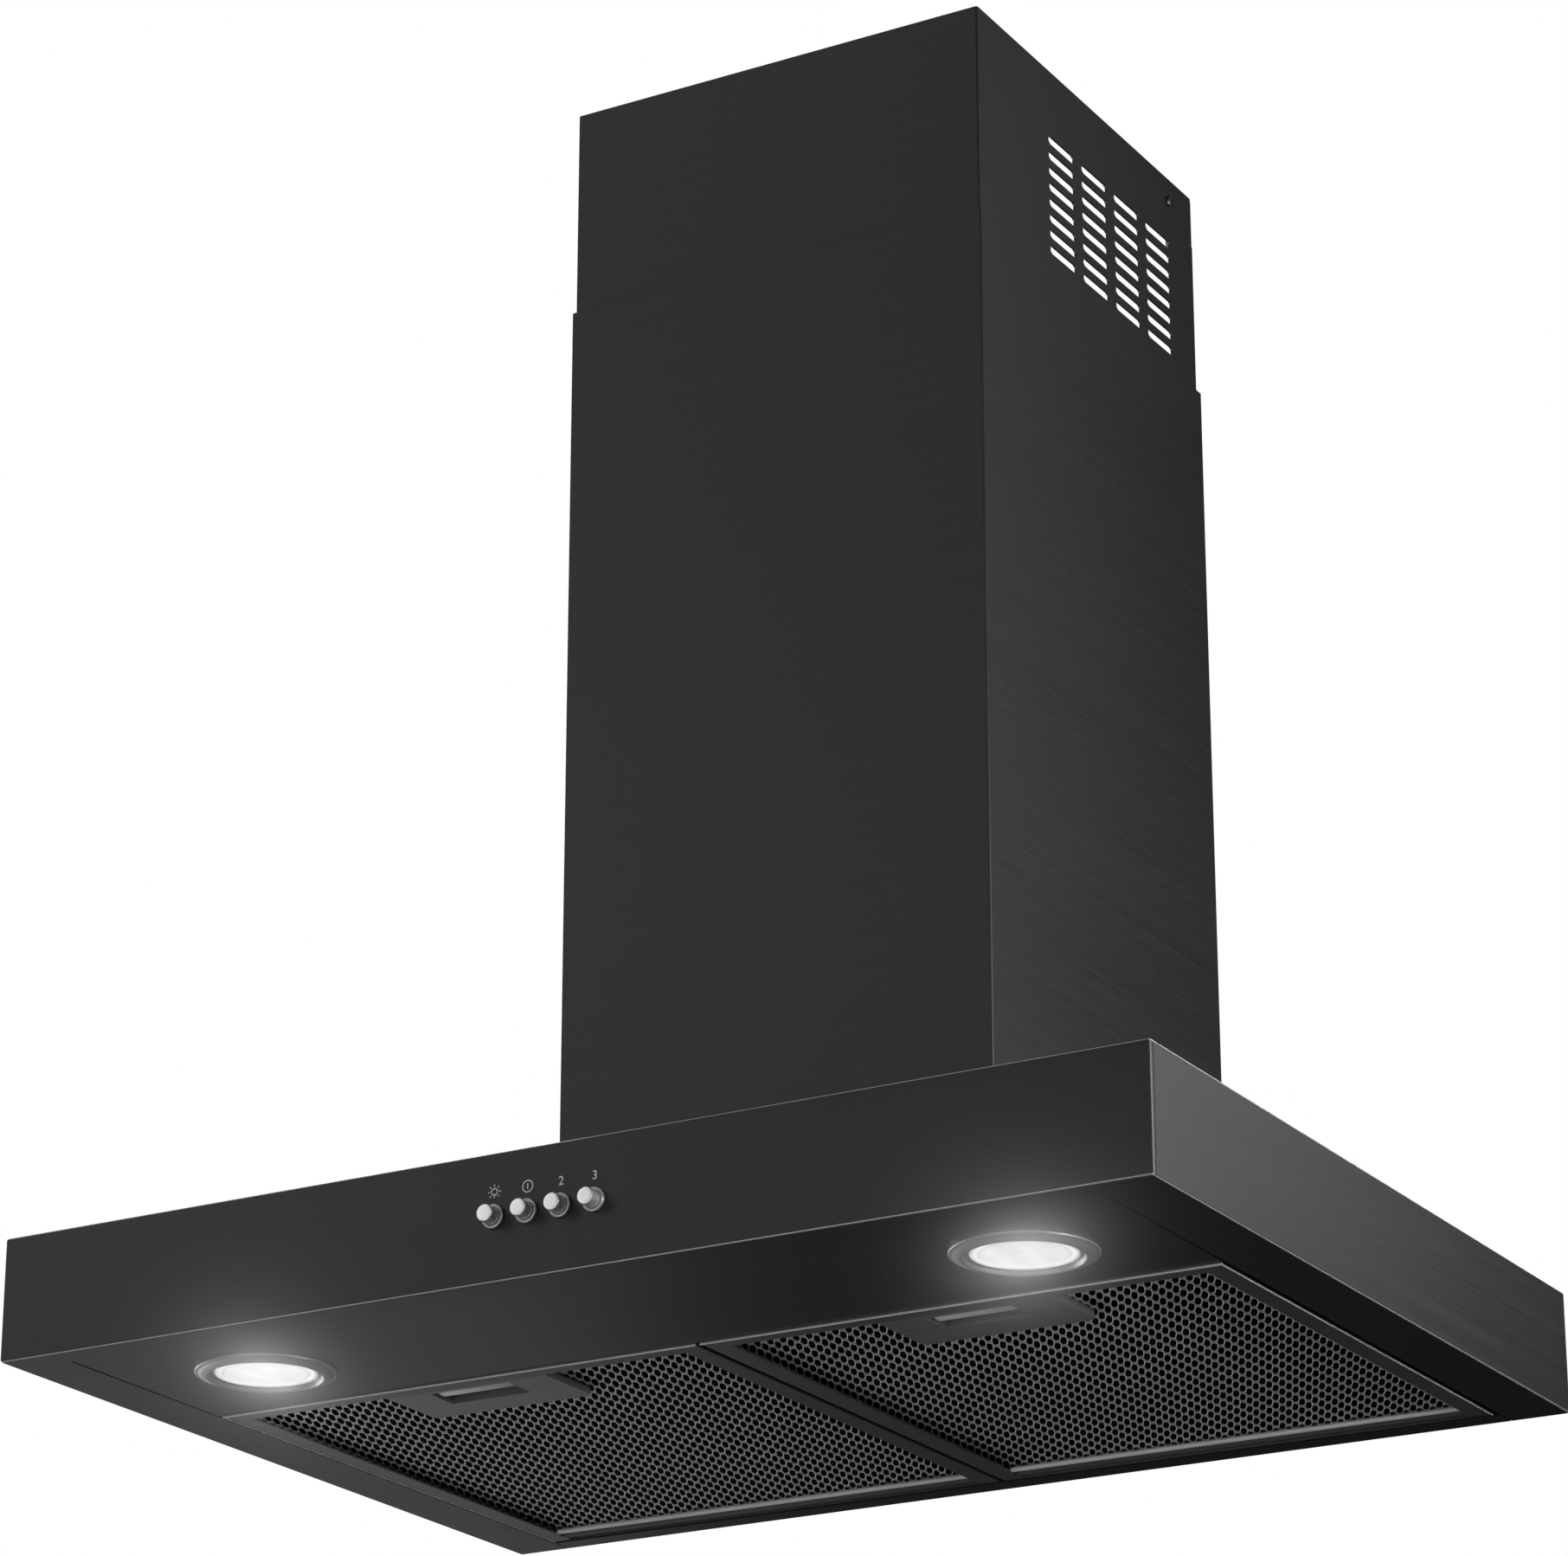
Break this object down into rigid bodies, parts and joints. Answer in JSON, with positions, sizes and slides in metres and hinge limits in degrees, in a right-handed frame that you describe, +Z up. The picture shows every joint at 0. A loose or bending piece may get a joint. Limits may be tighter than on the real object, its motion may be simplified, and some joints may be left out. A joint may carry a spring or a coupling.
{
  "type": "range hood",
  "caption": "Wall chimney range hood: flat black steel canopy, telescoping square chimney covers, grease filters with pull latches, round lamps and push buttons.",
  "frame": {"origin": "on the wall plane, at the middle of the canopy's back", "axes": "+Y into the wall, +Z up along the chimney, +X to the right seen from the front"},
  "size_m": [0.598, 0.4585, 0.701],
  "materials": {
    "black_steel": "black-coated brushed steel, satin",
    "galvanised_steel": "zinc-coated sheet, spangled, semi-matt",
    "filter_metal": "grey satin sheet",
    "filter_mesh": "grey expanded metal",
    "satin_bezel": "satin nickel",
    "lamp_lens": "frosted, lit",
    "black_plastic": "fine moulded texture",
    "button_metal": "satin, light grey face",
    "collar_metal": "satin",
    "grey_plastic": "moulded",
    "motor_steel": "dark steel",
    "screw_steel": "satin",
    "capacitor_white": "white sleeve"
  },
  "bodies": {
    "hood": {"blower_box": "galvanised_steel", "blower_screw_1": "screw_steel", "blower_screw_2": "screw_steel", "blower_screw_3": "screw_steel", "blower_screw_4": "screw_steel", "button_collar_1": "collar_metal", "button_collar_2": "collar_metal", "button_collar_3": "collar_metal", "button_collar_4": "collar_metal", "cable_gland": "black_plastic", "canopy_shell": "black_steel", "capacitor": "capacitor_white", "capacitor_clip": "galvanised_steel", "chimney_foot_screw_left": "screw_steel", "chimney_foot_screw_right": "screw_steel", "flap_pin": "screw_steel", "lamp_bezel_left": "satin_bezel", "lamp_bezel_right": "satin_bezel", "lamp_holder_left": "black_plastic", "lamp_holder_right": "black_plastic", "lamp_lens_left": "lamp_lens", "lamp_lens_right": "lamp_lens", "lower_chimney": "black_steel", "motor_body": "motor_steel", "motor_bracket": "galvanised_steel", "outlet_spigot": "black_plastic", "rear_panel": "black_steel", "switch_block": "black_plastic", "terminal_box": "grey_plastic", "terminal_box_lid": "grey_plastic", "volute_left": "black_plastic", "volute_right": "black_plastic", "wall_hook_left": "galvanised_steel", "wall_hook_right": "galvanised_steel"},
    "upper_cover": {"upper_chimney": "black_steel", "upper_bracket_left": "galvanised_steel", "upper_bracket_right": "galvanised_steel", "bracket_screw_left": "screw_steel", "bracket_screw_right": "screw_steel"},
    "button_1": {"push_button_1": "button_metal"},
    "button_2": {"push_button_2": "button_metal"},
    "button_3": {"push_button_3": "button_metal"},
    "button_4": {"push_button_4": "button_metal"},
    "fan_rotor": {"impeller": "black_plastic", "motor_shaft": "screw_steel"},
    "flap_front": {"flap_front": "black_plastic"},
    "flap_rear": {"flap_rear": "black_plastic"},
    "filter_left": {"filter_frame_left": "filter_metal", "filter_mesh_left": "filter_mesh", "latch_plate_left": "filter_metal"},
    "filter_right": {"filter_frame_right": "filter_metal", "filter_mesh_right": "filter_mesh", "latch_plate_right": "filter_metal"},
    "latch_left": {"latch_slider_left": "filter_metal"},
    "latch_right": {"latch_slider_right": "filter_metal"}
  },
  "joints": [
    {"name": "upper_cover_slide", "type": "slide", "parent": "hood", "child": "upper_cover", "axis": [0, 0, 1], "range_m": [-0.085, 0.23]},
    {"name": "button_1_press", "type": "slide", "parent": "hood", "child": "button_1", "axis": [0, 1, 0], "range_m": [0, 0.0035], "stiffness_N_per_m": 400, "springref_m": -0.003},
    {"name": "button_2_press", "type": "slide", "parent": "hood", "child": "button_2", "axis": [0, 1, 0], "range_m": [0, 0.0035], "stiffness_N_per_m": 400, "springref_m": -0.003},
    {"name": "button_3_press", "type": "slide", "parent": "hood", "child": "button_3", "axis": [0, 1, 0], "range_m": [0, 0.0035], "stiffness_N_per_m": 400, "springref_m": -0.003},
    {"name": "button_4_press", "type": "slide", "parent": "hood", "child": "button_4", "axis": [0, 1, 0], "range_m": [0, 0.0035], "stiffness_N_per_m": 400, "springref_m": -0.003},
    {"name": "fan_spin", "type": "hinge", "parent": "hood", "child": "fan_rotor", "pos_m": [0, -0.16, 0.125], "axis": [1, 0, 0], "continuous": true},
    {"name": "flap_front_open", "type": "hinge", "parent": "hood", "child": "flap_front", "pos_m": [0, -0.118, 0.2853], "axis": [-1, 0, 0], "range_deg": [0, 75]},
    {"name": "flap_rear_open", "type": "hinge", "parent": "hood", "child": "flap_rear", "pos_m": [0, -0.118, 0.2853], "axis": [1, 0, 0], "range_deg": [0, 75]},
    {"name": "filter_left_swing", "type": "hinge", "parent": "hood", "child": "filter_left", "pos_m": [-0.1339, -0.0195, -0.0285], "axis": [1, 0, 0], "range_deg": [0, 65]},
    {"name": "filter_right_swing", "type": "hinge", "parent": "hood", "child": "filter_right", "pos_m": [0.1339, -0.0195, -0.0285], "axis": [1, 0, 0], "range_deg": [0, 65]},
    {"name": "latch_left_pull", "type": "slide", "parent": "filter_left", "child": "latch_left", "axis": [0, 1, 0], "range_m": [0, 0.0065], "stiffness_N_per_m": 300, "springref_m": -0.005},
    {"name": "latch_right_pull", "type": "slide", "parent": "filter_right", "child": "latch_right", "axis": [0, 1, 0], "range_m": [0, 0.0065], "stiffness_N_per_m": 300, "springref_m": -0.005}
  ]
}
